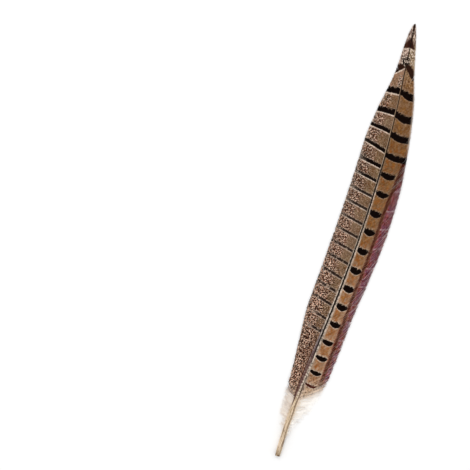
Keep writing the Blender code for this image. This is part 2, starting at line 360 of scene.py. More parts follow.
class Vane:
    """One side's outline, barb curves and locks. The side is 1 for the right vane and -1 for the left one.
    A barb is named by its root, a station on the shaft."""

    def __init__(self, side, outline, margin_angle, seed):
        self.side = side
        self.outline = outline
        self.margin_angle = margin_angle
        stations, reaches = np.array(outline).T
        roots = stations.copy()
        for _ in range(ROOT_ROUNDS):
            roots = stations - self.forward(roots, reaches, 1.0)
        self.reach_by_root = np.stack((roots, reaches), axis=1)
        self.first, self.last = roots[0], roots[-1]
        self.seed = seed
        self.chance = np.random.default_rng(seed)
        self.make_locks()

    def forward(self, root, reach, share):
        """How far towards the tip a barb has run at a share of its reach: its slope is that of the root
        angle, plus a term in the square of the share that ends in the slope of the margin angle."""
        start = 1 / np.tan(np.radians(through(ROOT_ANGLE, root)))
        end = 1 / np.tan(np.radians(through(self.margin_angle, root)))
        return reach * (start * share + (end - start) * share**3 / 3)

    def down(self, root):
        """1 where the barbs are downy, at the foot, falling off to 0 up the vane as a bell curve."""
        return np.exp(-(((root - self.first) / DOWN_RUN) ** 2))

    def make_locks(self):
        """Shares the roots out into uneven locks, narrow in the down, and sets each notch."""
        size = 1 + LOCK_UNEVENNESS * self.chance.uniform(-1, 1, LOCKS)
        size = size * blend(DOWN_LOCK_SIZE, 1, fade(0, LOCKS / 5, np.arange(LOCKS)))
        edges = np.concatenate(([0.0], np.cumsum(size) / size.sum()))
        self.edges = blend(self.first, self.last, edges)
        split = np.where(np.arange(LOCKS + 1) % SPLIT_EVERY == SPLIT_EVERY // 2, SPLIT_NOTCH, NOTCH)
        uneven = self.chance.uniform(*NOTCH_UNEVENNESS, LOCKS + 1)
        down = self.down(self.edges)
        self.notch = (1 - down) * split * uneven + down * DOWN_NOTCH

    def lock_of(self, root):
        """For each root: its lock's size, its place across the lock from 0 to 1, how close it is to the
        nearer notch (1 beside it, falling off exponentially), the way away from that, and its depth."""
        lock = np.clip(np.searchsorted(self.edges, root) - 1, 0, LOCKS - 1)
        size = self.edges[lock + 1] - self.edges[lock]
        across = (root - self.edges[lock]) / size
        close = np.exp(-np.minimum(across, 1 - across) / NOTCH_SIDE)
        away = np.where(across < 0.5, 1.0, -1.0)
        return size, across, close, away, self.notch[lock + (across > 0.5)]

    def surface(self, root, share, size=1.0, lock_place=0.5, shift=0.0, lift=0.0):
        """Points of the vane. A barb runs out from its root by forward(), to its share of its reach. Its
        height falls from the shaft's upper half to the margin's by a mix of a straight and a square law in
        the share of the outline. Returns the points, their stations and their reaches."""
        full = through(self.reach_by_root, root) * size
        reach = blend(VANE_INSET * shaft_width(root), full, share)
        station = np.minimum(root + self.forward(root, full, reach / full) + shift, LENGTH)
        top = shaft_height(station) + VANE_SEAT * shaft_width(station)
        out = np.clip(reach / through(self.outline, station), 0.0, 1.0)
        droop = (1 - ARCH) * out + ARCH * out**2
        leading = LOCK_LIFT * (0.5 - lock_place) * out**2
        height = top - (top - MARGIN_HEIGHT) * droop + leading + lift
        return place(station, self.side * reach, height), station, reach


# Meshes


def tubes(paths, across, up, half_width, half_height, corners):
    """Closed tubes along many paths at once. At each step of a path lies a ring of corners, the path's point
    plus across times the half width times the cosine of the corner's angle, plus up times the half height
    times its sine. Returns the points as (tube, step, corner, axis), the quads between the rings as rows of
    four point numbers, and the two end caps of each tube, all facing outwards."""
    count, steps = paths.shape[:2]
    angle = np.arange(corners) * 2 * math.pi / corners + math.pi
    wide = (across * half_width[..., None])[:, :, None] * np.cos(angle)[:, None]
    high = (up * half_height[..., None])[:, :, None] * np.sin(angle)[:, None]
    points = paths[:, :, None] + wide + high
    index = np.arange(count * steps * corners).reshape(count, steps, corners)
    after = np.roll(index, -1, axis=2)
    quads = np.stack((index[:, :-1], after[:, :-1], after[:, 1:], index[:, 1:]), axis=-1)
    starts, ends = index[:, 0, ::-1], index[:, -1]
    along = paths[:, 1] - paths[:, 0]
    if np.sum(np.cross(across[:, 0], up[:, 0]) * along) < 0:
        quads, starts, ends = quads[..., ::-1], starts[:, ::-1], ends[:, ::-1]
    return points, quads, np.concatenate((starts, ends))


def face_rows(quads, caps, first=0):
    """The faces of tubes as lists of point numbers, with the first point's number added to each."""
    return (quads.reshape(-1, 4) + first).tolist() + (caps + first).tolist()


def make_piece(name, points, faces, values, finish, corner_uv=None):
    """A piece of the feather from its points, its faces, its named values at each point and, where it has
    one, its texture map, given corner by corner in the order of the faces."""
    mesh = bpy.data.meshes.new(name)
    mesh.from_pydata(points.reshape(-1, 3), [], faces)
    for value_name, value in values.items():
        layer = mesh.attributes.new(value_name, "FLOAT_VECTOR", "POINT")
        layer.data.foreach_set("vector", np.ascontiguousarray(value, np.float32).ravel())
    if corner_uv is not None:
        layer = mesh.uv_layers.new(name="OFBake")
        layer.data.foreach_set("uv", np.ascontiguousarray(corner_uv, np.float32).ravel())
    mesh.materials.append(finish)
    mesh.shade_smooth()
    mesh.update()
    made = bpy.data.objects.new(name, mesh)
    bpy.context.scene.collection.objects.link(made)
    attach(made, BODY)
    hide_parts(SOLID)


def frame_along(paths):
    """Unit vectors along the paths, square to them and level, and square to both, pointing up."""
    along = unit(np.gradient(paths, axis=1))
    upright = np.zeros_like(along)
    upright[..., 2] = 1.0
    across = unit(np.cross(upright, along))
    return along, across, np.cross(along, across)


# The shaft


def section(width, groove, square):
    """The shaft's cross-section: a circle swollen towards its corners by a squared sine of twice the angle,
    cut flat below, with a bell-shaped groove along the flat. Returns places across and up."""
    angle = np.arange(SHAFT_CORNERS) * 2 * math.pi / SHAFT_CORNERS - math.pi / 2
    half = width[:, None] / 2
    radius = half * (1 + square[:, None] * np.sin(2 * angle) ** 2)
    across = radius * np.cos(angle)
    up = np.maximum(radius * np.sin(angle), -half * math.cos(math.radians(FLAT_HALF_ANGLE)))
    middle = np.exp(-((across / (GROOVE_HALF_WIDTH * half)) ** 2)) * (up < 0)
    return across, up + middle * groove[:, None] * half


def make_shaft(finish):
    """The shaft as one loft: from the end of the bore out to the cut, over its rim, and up to the tip. The
    product of a sine along it and a sine round it makes its surface a little uneven."""
    outer = LENGTH * np.linspace(0, 1, SHAFT_RINGS)
    station = np.concatenate((np.linspace(BORE_DEPTH, 0.0, BORE_RINGS), outer))
    inside = np.arange(len(station)) < BORE_RINGS
    strength = fade(*GROOVE_FROM, station)
    narrowed = BORE_WIDTH * blend(BORE_END_WIDTH, 1, fade(0, BORE_ROUNDING, 1 - station / BORE_DEPTH))
    width = np.where(inside, narrowed, shaft_width(station))
    across, up = section(width, GROOVE_DEPTH * strength, SQUARENESS * strength)
    half, station, inside = width[:, None] / 2, station[:, None], inside[:, None]
    angle = np.arange(SHAFT_CORNERS) * 2 * math.pi / SHAFT_CORNERS
    ripple = np.sin(station * WAVES[0] + 2 * np.sin(angle)) * np.sin(3 * angle + station * WAVES[1])
    grow = 1 + np.where(inside, 0.0, SHAFT_WAVE * ripple) / (2 * half)
    points = place(station, across * grow, shaft_height(station) + up * grow)
    index = np.arange(across.size).reshape(across.shape)
    after = np.roll(index, -1, axis=1)
    quads = np.stack((index[:-1], after[:-1], after[1:], index[1:]), axis=-1)
    faces = face_rows(quads, np.stack((index[0, ::-1], index[-1])))

    depth = (LENGTH - station) * MM
    dark_from, dark_to, grey_shade_from, grey_shade_to = (
        np.interp(depth, *np.array(streak)[:, (0, edge)].T)
        for streak in (DARK_STREAK, GREY_AND_SHADE_STREAK)
        for edge in (1, 2)
    )
    values = {
        "shaft": threes(across, depth, across / half, up / half),
        "streaks": threes(across, dark_from, dark_to, grey_shade_from),
        "hollow": threes(across, inside.astype(float), grey_shade_to, 0.0),
    }
    make_piece("shaft", points, faces, values, finish)


# The vanes' barbs


def bar_values(depth, reach, bars, half, slope, turn, bulge, end):
    """A count of bars that passes a whole number at the middle of each, their spacing and half thickness.
    A place counts by the depth at which its bar meets the shaft: its own depth, plus the slope times the
    reach as far as the turn and less a part of that beyond it, plus a rise past the bars' end, less a bulge
    that follows a square law out to the bars' end and back. Before the first bar and after the last one the
    half thickness drops below 0."""
    bars = np.array(bars, float)
    bow = np.clip(1 - (2 * reach / end - 1) ** 2, 0, 1) - 0.5
    slanted = np.minimum(reach, turn) - TURN_SLOPE * np.maximum(reach - turn, 0)
    rise = FRINGE_RISE * np.maximum(reach - end, 0)
    at_shaft = depth + through(slope, depth) * slanted + rise - bulge * bow
    first, last = bars[1] - bars[0], bars[-1] - bars[-2]
    count = np.interp(at_shaft, bars, np.arange(len(bars)))
    count = count + np.minimum(at_shaft - bars[0], 0) / first + np.maximum(at_shaft - bars[-1], 0) / last
    spacing = np.interp(at_shaft, bars, np.gradient(bars))
    beyond = fade(0.3, 0.45, np.abs(count - np.clip(count, 0, len(bars) - 1)))
    return count, spacing, through(half, at_shaft) - 4 * beyond


def right_bars(depth, reach):
    """The right vane's bars. The uppermost few are a little thinner by the shaft. Below them each is a lens:
    its thickness follows the root of the sine of a power of the share of its way out. Returns bar_values(),
    the reach at which the bars end, and the reach past the middle of the stripe."""
    end = np.interp(depth, *np.array(RIGHT_BAR_END).T)
    ended = fade(*BARS_SHORTEN, depth)
    bulge = BAR_BULGE * ended
    count, spacing, half = bar_values(
        depth, reach, RIGHT_BARS, RIGHT_BAR_HALF, RIGHT_BAR_SLOPE, BAR_TURN, bulge, end
    )
    start = blend(*LENS_START, fade(*LENS_MOVES, depth))
    part = np.clip((reach - start) / (end + LENS_SPARE - start), 0, 1)
    lens = np.sqrt(np.maximum(np.sin(math.pi * part**LENS_LEAN), 0))
    half = half * (lens * ended + (1 - ROOT_THINNING * fade(5.0, 1.5, reach)) * (1 - ended))
    return (count, spacing, half), end, reach - through(STRIPE, depth)


def left_bars(depth, reach):
    """The left vane's bars, which end at its margin, so that it has no stripe."""
    end = np.full_like(depth, PAST_MARGIN)
    values = bar_values(depth, reach, LEFT_BARS, LEFT_BAR_HALF, LEFT_BAR_SLOPE, PAST_MARGIN, 0.0, end)
    return values, end, np.zeros_like(depth)


def make_vane(name, vane, finish):
    """The barbs of one vane, each a closed diamond tube. A barb's width is its overlap times the distance
    to the next barb, square to itself. Beside a notch the barbs bend away from it by a power of the share of
    their length that the notch reaches. The right vane's outer ends are loose and narrow, and at the foot
    the barbs are thin threads that sway as a sine wave, stray and rise with their share."""

    def each(low, high):
        return vane.chance.uniform(low, high, (BARBS, 1))

    def stray():
        return vane.chance.normal(0, 1, (BARBS, 1))

    share = np.append(BARB_END * np.linspace(0, 1, BARB_STEPS - 1) ** BARB_SPACING, 1.0)
    even = (vane.first + (vane.last - vane.first) * (np.arange(BARBS) + 0.5) / BARBS)[:, None]
    root = even + each(-BARB_JITTER, BARB_JITTER) * (even[1] - even[0])
    size, across, close, away, notch = vane.lock_of(root)
    down = vane.down(root)
    fringe = fade(FRINGE_FROM, 1.0, share) * (1 - fade(*FRINGE_TOP, root)) * FRINGE_LOOSENESS[vane.side]
    loose = fringe + down * share
    deep = np.clip(2.0 * notch, *NOTCH_REACH)
    opening = np.clip((share - (1 - deep)) / deep, 0, 1) ** NOTCH_CURVE
    wider = 1 + NOTCH_BEND * (np.minimum(notch / NOTCH, DEEPEST_NOTCH) - 1)
    bend = away * close * opening * PARTING * size * wider
    shift = bend + (stray() * LOOSE_STRAY[0] + stray() * LOOSE_STRAY[1] * np.sin(LOOSE_WAVE * share)) * loose
    swaying = stray() * DOWNY_SWING * share + DOWNY_WAVE * np.sin(each(*DOWNY_WAVES) * share + each(0, TURN))
    shift = shift + swaying * down * share
    both_ways, inwards, when_loose = REACH_STRAY
    length = BARB_REACH + stray() * both_ways - np.abs(stray()) * (inwards + when_loose * loose[:, -1:])
    length = np.clip(length - DOWNY_SHORT * down * each(0, 1) ** 2, *REACH_LIMITS)
    lift = loose * each(*LOOSE_LIFT) + down * share * each(0, DOWNY_LIFT)
    own = each(0, 1)

    even_paths = vane.surface(even, share)[0]
    step = np.gradient(even_paths, axis=0)
    along = unit(np.gradient(even_paths, axis=1))
    apart = np.linalg.norm(step - np.sum(step * along, -1, keepdims=True) * along, axis=-1)

    paths, station, reach = vane.surface(root, share, length, across, shift, lift)
    paths[..., 2] = np.maximum(paths[..., 2], LOWEST_BARB)
    _, sideways, up = frame_along(paths)
    sideways = sideways * np.sign(sideways[..., 1:2])
    up = up * np.sign(up[..., 2:])
    tilt = math.radians(BARB_TILT)
    leaning = sideways * math.cos(tilt) + up * math.sin(tilt)
    standing = up * math.cos(tilt) - sideways * math.sin(tilt)
    closed = apart * BARB_OVERLAP * (1 - (1 - FRINGE_WIDTH) * fringe)
    parted = fade(*PARTED_DOWN, down) * fade(*PARTED_SHARE, share)
    width = blend(closed, blend(*DOWNY_WIDTH, share), parted)
    half_width = width / 2 * (1 - END_NARROWING * fade(BARB_END, 1.0, share))
    half_height = blend(*BARB_HEIGHT, share) / 2 * np.ones_like(root)
    points, quads, caps = tubes(paths, leaning, standing, half_width, half_height, BARB_CORNERS)
    points[..., 2] = np.maximum(points[..., 2], LOWEST_POINT)

    run = np.cumsum(np.linalg.norm(np.diff(paths, axis=1, prepend=paths[:, :1]), axis=-1), axis=1)
    values = marking_values(vane, paths, points, station, reach, root, run, own)
    make_piece(name, points, face_rows(quads, caps), values, finish, barb_map(quads, caps))


def marking_values(vane, paths, points, station, reach, root, run, own):
    """What a vane's markings are drawn from, at each corner of its barbs, in millimetres. A corner's depth
    and reach are its path's, plus the way from the path to the corner, turned by the shaft's lean."""
    lean = lean_at(station)[..., None]
    aside = (points - paths[:, :, None]) * MM
    depth, reach = (LENGTH - station) * MM, reach * MM
    out = reach / (through(vane.outline, station) * MM)
    bars, end, past_stripe = (right_bars if vane.side > 0 else left_bars)(depth, reach)
    corner_depth = depth[..., None] - aside[..., 1] - aside[..., 0] * lean
    corner_reach = reach[..., None] + vane.side * (aside[..., 0] - aside[..., 1] * lean)
    beside = corner_reach - shaft_width(station)[..., None] / 2 * MM
    side = np.array((0.5, 0.0, 0.5, 1.0))  # round a ring: an edge, the lowest corner, an edge, the highest
    return {
        "barb": threes(beside, root[..., None] * MM, run[..., None] * MM, own[..., None]),
        "edge": threes(beside, past_stripe[..., None], (reach - end)[..., None], beside),
        "bars": threes(beside, *(value[..., None] for value in bars)),
        "spot": threes(beside, corner_depth, corner_reach, out[..., None]),
        "side": threes(beside, side, 0.0, 0.0),
    }


def barb_map(quads, caps):
    """A texture map with a row for each barb, in two columns of rows. A row holds the barb's upper side,
    from its root to the middle of the column, then its underside, from the middle back to the root. Across
    the row, both run from the barb's trailing edge to its leading edge. A cap is a small patch in it."""
    rows = math.ceil(BARBS / MAP_COLUMNS)

    def parts(corners):
        barb, rest = np.divmod(corners.reshape(-1), BARB_CORNERS * BARB_STEPS)
        return barb // rows, barb % rows, *np.divmod(rest, BARB_CORNERS)

    column, row, step, corner = parts(quads)
    under = np.repeat(np.broadcast_to(np.arange(BARB_CORNERS) < 2, quads.shape[:3]).ravel(), 4)
    share = step / (BARB_STEPS - 1)
    u = MAP_MARGIN + (1 - 2 * MAP_MARGIN) * np.where(under, 1 - share / 2, share / 2)
    v = np.array((0.0, 0.5, 1.0, 0.5))[corner]
    sides = np.stack(((column + u) / MAP_COLUMNS, (row + v) / rows), axis=-1)
    column, row, step, corner = parts(caps)
    u, v = 0.499 * (step > 0), 0.25 + 0.5 * (corner > 1)
    return np.concatenate((sides, np.stack(((column + u) / MAP_COLUMNS, (row + v) / rows), axis=-1)))


# The down at the foot


def make_down(name, vane, finish):
    """Loose downy barbs over the foot of a vane. A barb follows the vane's surface, with a sine wave and a
    random lean that grow along it. Barbules stand off both its sides, each a tapering three-cornered tube
    along a square curve, level with the barb give or take a random rise."""
    chance = np.random.default_rng(vane.seed + DOWN_SEED)

    def each(low, high):
        return chance.uniform(low, high, (DOWN_BARBS, 1))

    share = np.linspace(0, 1, DOWN_STEPS)
    low = np.sort(each(0, 1) ** DOWN_CROWDING, axis=0)
    wisp = np.arange(DOWN_BARBS)[:, None] < WISPS
    below = each(0, 1)
    root = vane.first - DOWN_START + np.where(wisp, -WISP_RUN * below, DOWN_TOP * low)
    length = each(*DOWN_REACH) * np.where(wisp, 1 - WISP_SHORTENING * below, 1.0)
    wave = np.sin(share * each(*DOWNY_WAVES) + each(0, TURN))
    shift = share * (wave * DOWN_WAVE + chance.normal(0, DOWN_STRAY, (DOWN_BARBS, 1)) * share)
    rise = share * (1 - DOWN_LEVELLING * share) * each(*DOWN_RISE)
    paths, station, _ = vane.surface(root, share, length, 0.5, shift, rise)
    paths[..., 2] = np.maximum(paths[..., 2], LOWEST_DOWN)
    along, across, up = frame_along(paths)
    half = DOWN_BARB_WIDTH / 2 * (1 - DOWN_NARROWING * share) * np.ones_like(root)
    points, quads, caps = tubes(paths, across, up, half, half, DOWN_CORNERS)

    jitter = chance.uniform(-BARBULE_JITTER, BARBULE_JITTER, (DOWN_BARBS, BARBULES))
    at = np.clip((np.arange(BARBULES) + 0.5 + jitter) / BARBULES, *BARBULE_ENDS)
    position = at * (DOWN_STEPS - 1)
    before = np.minimum(position.astype(int), DOWN_STEPS - 2)
    part = (position - before)[..., None]
    barb = np.arange(DOWN_BARBS)[:, None]

    def between(values):
        return (values[barb, before] * (1 - part) + values[barb, before + 1] * part)[:, :, None]

    start, forward, level, upright = between(paths), *(unit(between(way)) for way in (along, across, up))
    sides = np.array((-1.0, 1.0))[:, None]
    shape = (DOWN_BARBS, BARBULES, 2, 1)
    angle = np.radians(chance.uniform(*BARBULE_ANGLE, shape))
    tilt = chance.normal(0, BARBULE_TILT, shape)
    out = unit(forward * np.cos(angle) + level * sides * np.sin(angle) + upright * tilt)
    reach_out = chance.uniform(*BARBULE_LENGTH, shape) * (1 - BARBULE_SHORTENING * at[..., None, None])
    along_barbule = np.array((0.0, 0.5, 1.0))[:, None]
    curl = chance.uniform(*BARBULE_CURL, shape)
    straight = out[:, :, :, None] * (reach_out[..., None] * along_barbule)
    bent = forward[:, :, :, None] * (reach_out * curl)[..., None] * along_barbule**2
    hairs = (start[:, :, :, None] + straight + bent).reshape(-1, 3, 3)
    hairs[..., 2] = np.maximum(hairs[..., 2], LOWEST_BARBULE)
    _, hair_across, hair_up = frame_along(hairs)
    hair_half = np.broadcast_to(BARBULE_WIDTH / 2 * np.array(BARBULE_TAPER), hairs.shape[:2])
    hair = tubes(hairs, hair_across, hair_up, hair_half, hair_half, BARBULE_CORNERS)
    hair_points, hair_quads, hair_caps = hair

    own = chance.uniform(0, 1, DOWN_BARBS)[:, None, None]
    on_barb = threes(points[..., 0], own, share[:, None], (LENGTH - station)[..., None] * MM)
    by_barb = hair_points[..., 0].reshape(DOWN_BARBS, BARBULES, -1)
    on_hair = threes(by_barb, own, at[..., None], (LENGTH - root)[..., None] * MM)
    values = {"fluff": np.concatenate((on_barb.reshape(-1, 3), on_hair.reshape(-1, 3)))}
    faces = face_rows(quads, caps) + face_rows(hair_quads, hair_caps, points.size // 3)
    all_points = np.concatenate((points.reshape(-1, 3), hair_points.reshape(-1, 3)))
    make_piece(name, all_points, faces, values, finish)


# Materials


def colour(red, green, blue):
    """A colour given as the 0 to 255 values of a picture, as the shader's linear values."""
    levels = np.array((red, green, blue)) / 255
    linear = np.where(levels <= 0.04045, levels / 12.92, ((levels + 0.055) / 1.055) ** 2.4)
    return (*linear.tolist(), 1.0)


def feed(inputs, values):
    """Sets the inputs that the values name or number. A field is linked, and anything else is set."""
    for key, value in values.items():
        if isinstance(value, Field):
            inputs[key].id_data.links.new(value.socket, inputs[key])
        else:
            inputs[key].default_value = value


def shader(tree, kind, values, output=0, **settings):
    """Adds a shader node with its settings and what feeds its inputs. Returns one of its outputs."""
    made = tree.nodes.new("ShaderNode" + kind)
    for setting, value in settings.items():
        setattr(made, setting, value)
    feed(made.inputs, values)
    return Field(made.outputs[output])


class Field:
    """A number or a colour that changes over the surface. Arithmetic on it adds Math nodes."""

    def __init__(self, socket):
        self.socket = socket
        self.tree = socket.id_data

    def math(self, operation, *others):
        return shader(self.tree, "Math", dict(enumerate((self, *others))), operation=operation)

    def __add__(self, other):
        return self.math("ADD", other)

    def __sub__(self, other):
        return self.math("SUBTRACT", other)

    def __mul__(self, other):
        return self.math("MULTIPLY", other)

    def __truediv__(self, other):
        return self.math("DIVIDE", other)

    def __rsub__(self, other):
        return self * -1.0 + other

    __radd__ = __add__

    def distance(self):
        return self.math("ABSOLUTE")

    def fade(self, low, high):
        """0 at low and 1 at high, with a smooth step between. Low may be the larger one."""
        values = {"Value": self, "From Min": low, "From Max": high}
        return shader(self.tree, "MapRange", values, "Result", interpolation_type="SMOOTHSTEP")

    def band(self, low, high, soft):
        """1 between low and high, 0 beyond them, blending over soft."""
        return self.fade(low - soft, low + soft) * self.fade(high + soft, high - soft)


def parts_of(tree, name):
    """The three numbers of one of the piece's named values."""
    vector = shader(tree, "Attribute", {}, "Vector", attribute_name=name)
    split = shader(tree, "SeparateXYZ", {0: vector})
    return [Field(socket) for socket in split.socket.node.outputs]


def noise(x, y, z, detail=2.0, roughness=0.5):
    """Blender's noise at a place given by three fields in units of the noise's own grain, from 0 to 1."""
    at = shader(x.tree, "CombineXYZ", {0: x, 1: y, 2: z})
    values = {"Vector": at, "Scale": 1.0, "Detail": detail, "Roughness": roughness}
    return shader(x.tree, "TexNoise", values, "Fac")


def dots(x, y):
    """The distance to the nearest of many scattered points, about one in each unit square."""
    at = shader(x.tree, "CombineXYZ", {0: x, 1: y})
    return shader(x.tree, "TexVoronoi", {"Vector": at, "Scale": 1.0}, "Distance", voronoi_dimensions="2D")


def mix(under, over, amount):
    """The colour under, painted over with another by an amount."""
    return shader(amount.tree, "Mix", {0: amount, 6: under, 7: over}, 2, data_type="RGBA")


def paint(base, *coats):
    """Lays coats over a base in turn, each given as its colour and its amount."""
    for over, amount in coats:
        base = mix(base, over, amount)
    return base


def shade(base, tone):
    """A colour made lighter or darker by a factor."""
    return shader(base.tree, "VectorMath", {0: base, "Scale": tone}, operation="SCALE")


def ramp(depth, stops):
    """A colour that runs down the feather through the stops, given as (depth, colour)."""
    made = shader(depth.tree, "ValToRGB", {0: depth / (LENGTH * MM)})
    elements = made.socket.node.color_ramp.elements
    while len(elements) < len(stops):
        elements.new(1.0)
    for element, (where, value) in zip(elements, stops):
        element.position = where / (LENGTH * MM)
        element.color = value
    return made


def group(name, inputs, outputs, fill):
    """A node group whose inputs and outputs are plain numbers. fill gets the inputs as fields and returns
    the outputs as fields."""
    tree = bpy.data.node_groups.new(name, "ShaderNodeTree")
    for direction, sockets in (("INPUT", inputs), ("OUTPUT", outputs)):
        for socket in sockets:
            tree.interface.new_socket(socket, in_out=direction, socket_type="NodeSocketFloat")
    start = tree.nodes.new("NodeGroupInput")
    finish = tree.nodes.new("NodeGroupOutput")
    made = fill(*(Field(start.outputs[socket]) for socket in inputs))
    feed(finish.inputs, dict(zip(outputs, made)))
    return tree


def use(shared, first, *others):
    """Places a node group in the material that the first field is in, and feeds its inputs in their order.
    Returns its outputs as fields, in theirs."""
    made = first.tree.nodes.new("ShaderNodeGroup")
    made.node_tree = shared
    feed(made.inputs, dict(enumerate((first, *others))))
    return [Field(socket) for socket in made.outputs]


def strands(along, across, own, strength):
    """Fine lengthwise strands: noise drawn out along the strand, bundles of a few strands with a tone of
    their own, clouds that cross them, and a tone for each strand. Returns the tone and the fine grain."""
    fine = noise(along * 0.55, across * 5.0, own * 3.0, 3.0, 0.6)
    bundle = noise(along * 0.16, across * 0.95, 4.0, 2.0, 0.55)
    cloud = noise(along * 0.3, across * 0.34, 8.0)
    tone = fine - 0.5 + (bundle - 0.5) * 2.8 + (cloud - 0.5) * 1.3 + (own - 0.5) * 0.5
    return tone * strength + 1.0, fine


def barring(count, spacing, half, own, root, ragged):
    """Cross-bars with ragged edges. The offset from the nearest bar's middle is the count's distance from a
    whole number, times the spacing. Barbs in bundles of two or three, and each barb by itself, carry their
    stretch of a bar a little up or down, and lengthen or shorten it, mostly on the side of the tip. Returns
    how dark it is, the way beyond the bar's edge, and the offset."""
    offset = (count - count.math("ROUND")) * spacing
    jag = (noise(root * 0.85, own * 0.25, 7.0, 2.0, 0.6) - 0.5) * 4.6 + (own - 0.5) * 0.9
    tooth = (noise(root * 1.1, own * 0.3, 3.0, 2.0, 0.6) - 0.5) * 3.4 + jag * 0.5
    moved = offset + jag * ragged * 0.35
    beyond = moved.distance() - half - tooth * ragged * (offset.fade(0.6, -0.6) * 0.75 + 0.2)
    return beyond.fade(0.14, -0.14) * half.fade(0.02, 0.1), beyond, moved


def speckling(depth, reach, own, grain):
    """Small dark and pale dots, scattered. Each barb's stretch of them is moved a little, and a slower
    noise makes the dark ones larger where it is high and the pale ones where it is low."""
    shaken = (own - 0.5) * 0.4
    x, y = (depth + shaken) / grain, (reach + shaken) / grain
    gather = noise(depth * 0.45, reach * 0.45, 2.0, 2.0, 0.6) - 0.5
    dark = dots(x, y + 50.0) - gather * 0.6
    pale = dots(x * 1.15, y * 1.15 + 90.0) + gather * 0.5
    return dark.fade(0.49, 0.35), pale.fade(0.41, 0.28)


# Colours, as the 0 to 255 values of a picture
INK = colour(13, 4, 2)
SEPIA = colour(28, 15, 9)
UMBER = colour(84, 54, 38)
SPECK = colour(38, 18, 12)
COFFEE = colour(52, 26, 20)
BARK = colour(64, 36, 24)
ASH = colour(142, 118, 108)
OLIVE = colour(150, 128, 96)
PINK_BUFF = colour(164, 136, 122)
TAN = colour(146, 112, 84)
FAWN = colour(122, 87, 55)
DRAB = colour(117, 88, 60)
GREY_DRAB = colour(125, 98, 75)
PINK_DRAB = colour(126, 88, 68)
ROSE_DRAB = colour(153, 109, 86)
COCOA = colour(98, 66, 46)
BRICK = colour(158, 92, 64)
OCHRE = colour(116, 76, 38)
AMBER = colour(148, 98, 55)
APRICOT = colour(160, 110, 70)
GOLD = colour(152, 104, 48)
TAWNY = colour(136, 90, 46)
RUSSET = colour(156, 86, 34)
KHAKI = colour(134, 103, 74)
BRIM = colour(148, 116, 88)
PALE_BRIM = colour(176, 148, 124)
OAT = colour(206, 178, 150)
CREAM = colour(228, 208, 190)
CHALK = colour(236, 204, 180)
WHITE_DOWN = colour(253, 250, 246)
GREY_DOWN = colour(238, 230, 222)
WHEAT = colour(222, 206, 186)
SMOKE = colour(192, 180, 168)
MAROON = colour(70, 26, 17)
CRIMSON = colour(100, 40, 28)
MAUVE = colour(122, 54, 58)
ROSE = colour(166, 94, 94)
CORAL = colour(168, 76, 62)
PLUM = colour(70, 26, 28)
BLACK_PLUM = colour(44, 20, 22)
LILAC = colour(214, 190, 190)
SLATE = colour(98, 88, 98)
PAINTED_PURPLE_SHEEN = colour(126, 80, 102)
UNDERSIDE = colour(132, 110, 94)
HORN_BELOW = colour(188, 166, 136)
# The bore's inside: the pith's brown, darkened with painted shade
PITH_AND_SHADE = colour(100, 78, 54)

# The ground's colours down the feather, as (depth, colour)
RIGHT_HEART = (
    (0, ASH), (14, ASH), (20, OLIVE), (30, OLIVE), (46, FAWN), (90, OCHRE), (130, OCHRE), (142, TAWNY),
    (160, OCHRE), (200, AMBER), (284, APRICOT), (298, OAT), (308, CREAM),
)
RIGHT_BRIM = (
    (0, ASH), (20, OLIVE), (45, TAN), (75, KHAKI), (145, KHAKI), (175, BRIM), (215, PALE_BRIM),
    (285, PALE_BRIM), (305, CREAM),
)
LEFT_INNER = (
    (0, ASH), (14, ASH), (20, PINK_BUFF), (30, PINK_BUFF), (42, TAN), (60, FAWN), (80, GREY_DRAB),
    (92, DRAB), (130, DRAB), (170, GREY_DRAB), (215, DRAB), (240, DRAB), (262, PINK_DRAB), (285, ROSE_DRAB),
    (304, OAT),
)
LEFT_OUTER = (
    (40, TAN), (64, FAWN), (80, PINK_DRAB), (94, COCOA), (130, COCOA), (165, PINK_DRAB), (225, ROSE_DRAB),
    (262, PINK_DRAB), (290, ROSE_DRAB), (308, OAT),
)
STRIPE_COLOURS = (
    (95, colour(92, 40, 26)), (160, colour(112, 54, 36)), (205, colour(132, 64, 40)),
    (240, colour(138, 72, 46)), (290, colour(132, 66, 48)),
)
HORN_COLOURS = (
    (0, colour(120, 92, 78)), (60, colour(150, 124, 100)), (150, colour(172, 152, 130)),
    (225, colour(176, 162, 146)), (262, colour(172, 158, 144)), (292, colour(164, 150, 134)),
    (306, colour(210, 186, 152)), (342, colour(208, 186, 158)), (350, colour(170, 148, 116)),
)


def surface_of(name):
    """A new material and the parts of it that the finishes below fill in."""
    made = bpy.data.materials.new(name)
    made.use_nodes = True
    return made, made.node_tree, made.node_tree.nodes["Principled BSDF"].inputs


def raised(height, distance):
    """Normals bumped by a height."""
    return shader(height.tree, "Bump", {"Strength": GRAIN_STRENGTH, "Distance": distance, "Height": height})


